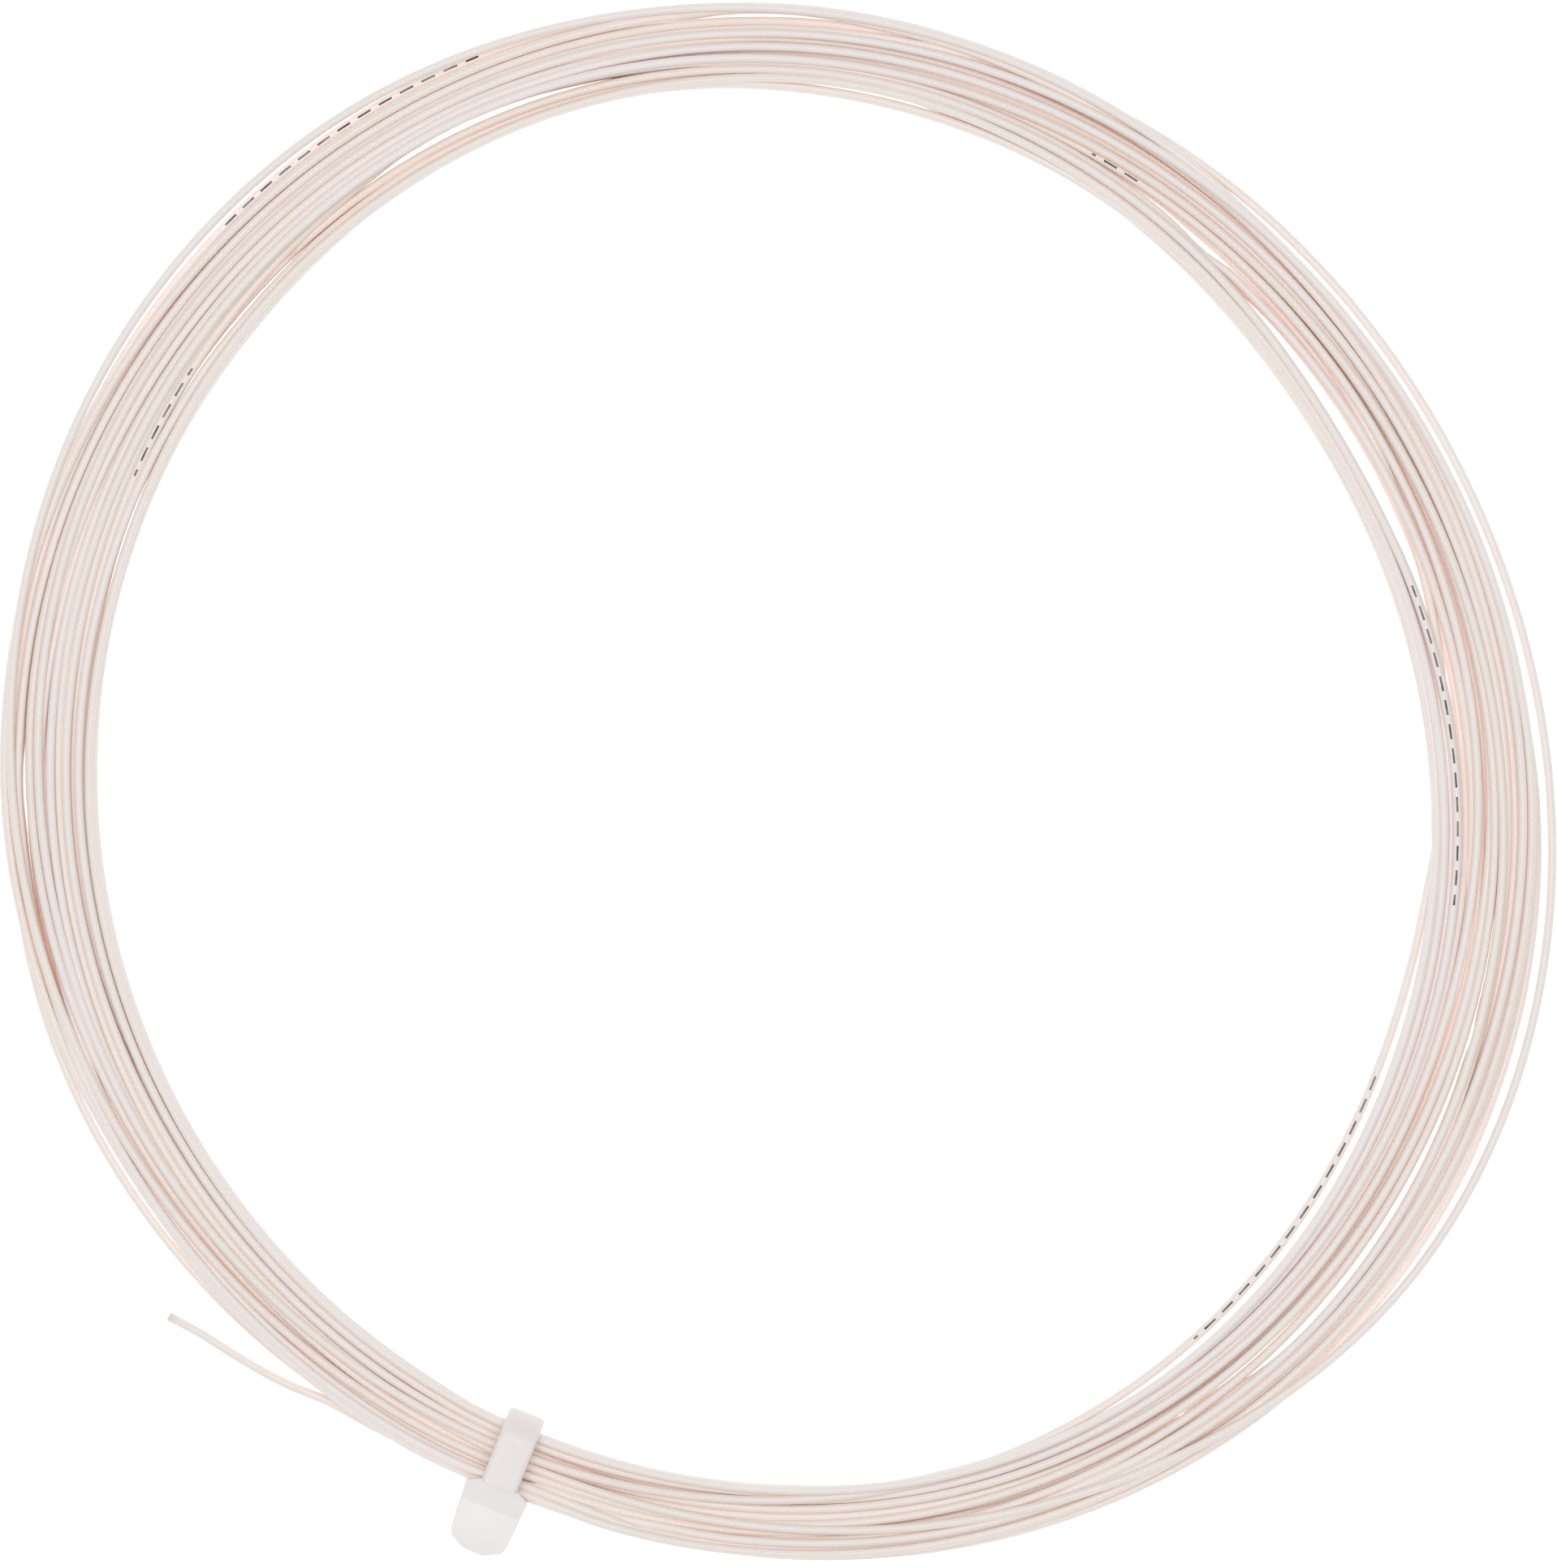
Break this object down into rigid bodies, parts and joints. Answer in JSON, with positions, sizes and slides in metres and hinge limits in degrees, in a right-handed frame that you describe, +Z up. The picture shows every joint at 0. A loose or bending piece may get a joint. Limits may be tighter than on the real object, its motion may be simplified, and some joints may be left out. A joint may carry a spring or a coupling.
{
  "type": "coil of racket string with a tie",
  "caption": "Flat round coil of thin round racket string, its turns gathered at one side by a small ribbed nylon tie, with one free cut end.",
  "frame": {"origin": "centre of the coil, on the surface that it lies on", "axes": "+Z up, square to the plane of the coil; the tie is in the direction 248.3 degrees from +X towards +Y"},
  "size_m": [0.116, 0.1164, 0.0064],
  "materials": {
    "string": "fine braided nylon, satin, warm whitish pink",
    "tie_nylon": "milky natural nylon, soft gloss"
  },
  "bodies": {
    "coil": {"string_coil": "string", "string_tail": "string", "tie_strap": "tie_nylon", "tie_head": "tie_nylon"},
    "pawl": {"tie_pawl": "tie_nylon"}
  },
  "joints": [
    {"name": "pawl_flex", "type": "hinge", "parent": "coil", "child": "pawl", "pos_m": [-0.02106, -0.05293, 0.0034], "axis": [0.9291, -0.3697, 0], "range_deg": [0, 9], "stiffness_Nm_per_rad": 0.02}
  ]
}
